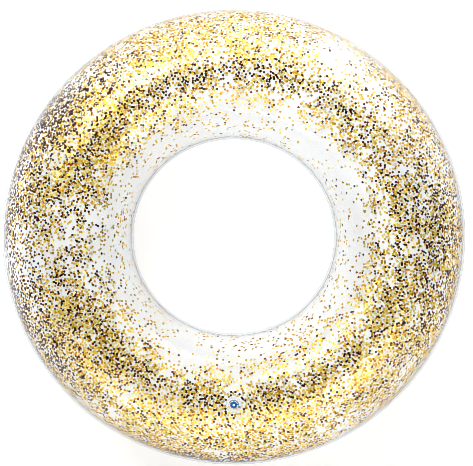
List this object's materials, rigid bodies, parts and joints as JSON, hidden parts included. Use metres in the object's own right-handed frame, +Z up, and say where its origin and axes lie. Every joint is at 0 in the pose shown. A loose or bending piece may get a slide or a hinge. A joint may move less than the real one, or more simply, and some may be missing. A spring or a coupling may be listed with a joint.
{
  "type": "inflatable swim ring",
  "caption": "Round inflatable swim ring of clear film with loose glitter inside and a push-in air valve in its crown.",
  "frame": {"origin": "centre of the hole, on the plane that the ring lies on", "axes": "+Z up, along the axis of the hole; the valve is on the -Y side of the crown"},
  "size_m": [0.9, 0.9, 0.2496],
  "materials": {
    "clear_film": "clear glossy film",
    "clear_vinyl": "clear soft moulding",
    "blue_vinyl": "soft moulded, glossy",
    "gold_foil": "metallised foil, mirror-like"
  },
  "bodies": {
    "root": {"upper_film": "clear_film", "lower_film": "clear_film", "valve_flange": "clear_vinyl", "valve_diaphragm": "clear_vinyl", "glitter_flake_01": "gold_foil", "glitter_flake_02": "gold_foil", "glitter_flake_03": "gold_foil", "glitter_flake_04": "gold_foil", "glitter_flake_05": "gold_foil", "glitter_flake_06": "gold_foil", "glitter_flake_07": "gold_foil", "glitter_flake_08": "gold_foil", "glitter_flake_09": "gold_foil", "glitter_flake_10": "gold_foil", "glitter_flake_11": "gold_foil", "glitter_flake_12": "gold_foil", "glitter_flake_13": "gold_foil", "glitter_flake_14": "gold_foil", "glitter_flake_15": "gold_foil", "glitter_flake_16": "gold_foil", "glitter_flake_17": "gold_foil", "glitter_flake_18": "gold_foil", "glitter_flake_19": "gold_foil", "glitter_flake_20": "gold_foil", "glitter_flake_21": "gold_foil", "glitter_flake_22": "gold_foil", "glitter_flake_23": "gold_foil", "glitter_flake_24": "gold_foil"},
    "stem": {"valve_stem": "clear_vinyl"},
    "flap": {"check_flap": "clear_vinyl"},
    "collar": {"tether_collar": "blue_vinyl", "plug_tether": "blue_vinyl"},
    "plug": {"valve_plug": "blue_vinyl"}
  },
  "joints": [
    {"name": "stem_pop", "type": "slide", "parent": "root", "child": "stem", "axis": [0, 0, 1], "range_m": [0, 0.012], "deforming": ["valve_diaphragm"]},
    {"name": "flap_open", "type": "hinge", "parent": "stem", "child": "flap", "pos_m": [0.0055, -0.3215, 0.23317], "axis": [0, -1, 0], "range_deg": [0, 60], "stiffness_Nm_per_rad": 0.0002, "springref_deg": -5.73},
    {"name": "tether_swivel", "type": "hinge", "parent": "stem", "child": "collar", "pos_m": [0, -0.3215, 0.24487], "axis": [0, 0, 1], "continuous": true},
    {"name": "plug_pull", "type": "slide", "parent": "collar", "child": "plug", "axis": [0, 0, 1], "range_m": [0, 0.012], "deforming": ["plug_tether"]}
  ]
}
